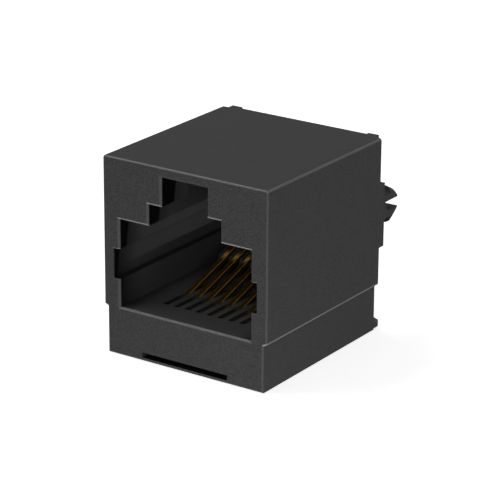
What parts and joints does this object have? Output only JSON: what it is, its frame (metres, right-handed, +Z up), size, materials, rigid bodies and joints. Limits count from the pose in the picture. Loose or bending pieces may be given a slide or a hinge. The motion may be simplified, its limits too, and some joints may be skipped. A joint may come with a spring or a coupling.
{
  "type": "board connector jack",
  "caption": "Black moulded jack for a modular plug, with split snap pegs on its board side, a stepped plug opening with a latch slot, and a row of sprung gold contacts.",
  "frame": {"origin": "middle of the footprint (the bounding box seen from above) on the surface that the jack rests on", "axes": "+X to the right as seen by someone looking into the plug opening, +Y from the plug opening to the board side, +Z up, towards the latch slot"},
  "size_m": [0.015, 0.0198, 0.0159],
  "materials": {
    "housing": "spark-eroded black moulding",
    "contact_insert": "smooth black moulding",
    "contact": "gold-plated spring wire"
  },
  "bodies": {
    "root": {"housing": "housing", "contact_insert": "contact_insert", "contact_1": "contact", "contact_2": "contact", "contact_3": "contact", "contact_4": "contact", "contact_5": "contact", "contact_6": "contact", "contact_7": "contact", "contact_8": "contact"}
  },
  "joints": []
}
